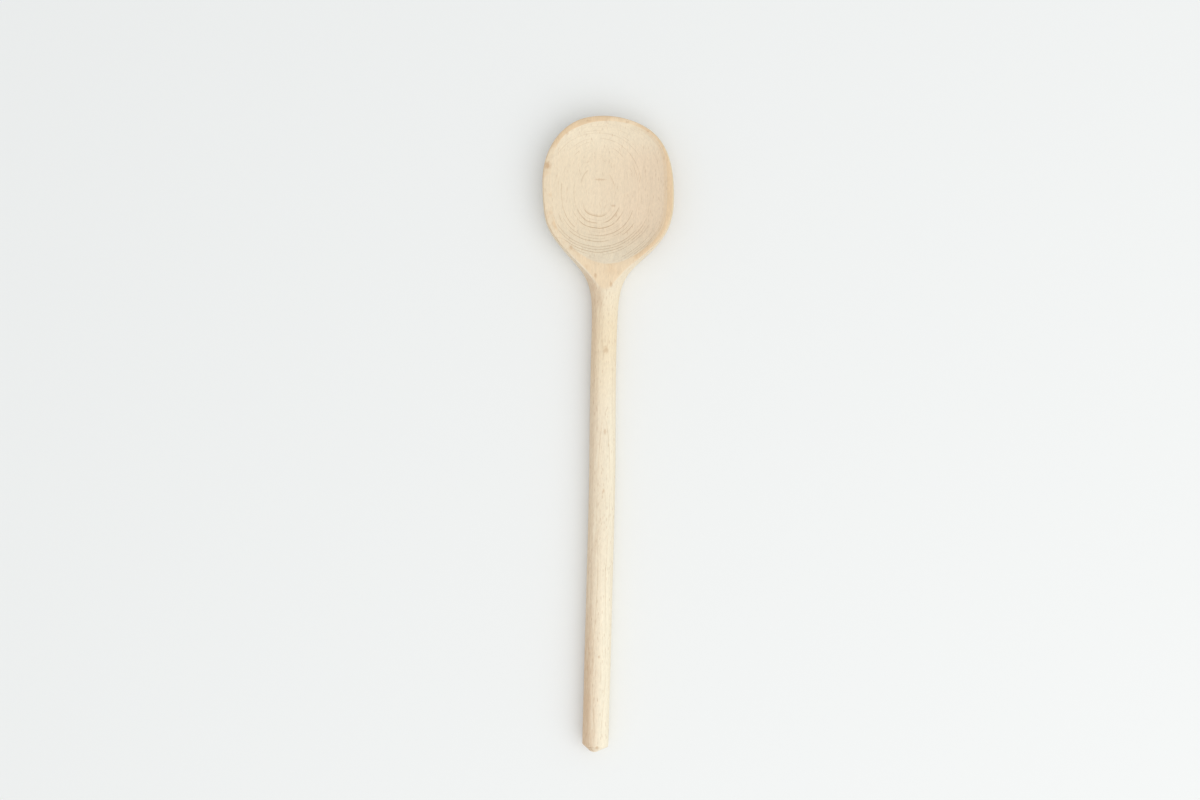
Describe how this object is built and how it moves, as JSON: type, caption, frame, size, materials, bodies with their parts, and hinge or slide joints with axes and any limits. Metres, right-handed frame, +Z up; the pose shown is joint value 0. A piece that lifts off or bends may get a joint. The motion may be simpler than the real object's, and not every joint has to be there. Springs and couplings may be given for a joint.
{
  "type": "wooden spoon",
  "caption": "Long-handled cooking spoon of one piece of bare beech, with a round handle, a broad flat-rimmed head and a shallow oval hollow.",
  "frame": {"origin": "on the surface that the spoon lies on, hollow up, under the middle of its length", "axes": "+Y along the spoon from the end of the handle to the tip of the head, +X across it, +Z up, the way the hollow opens"},
  "size_m": [0.062, 0.2998, 0.0137],
  "materials": {
    "beech": "bare, sanded, with fine grain and flecks"
  },
  "bodies": {
    "root": {"spoon": "beech"}
  },
  "joints": []
}
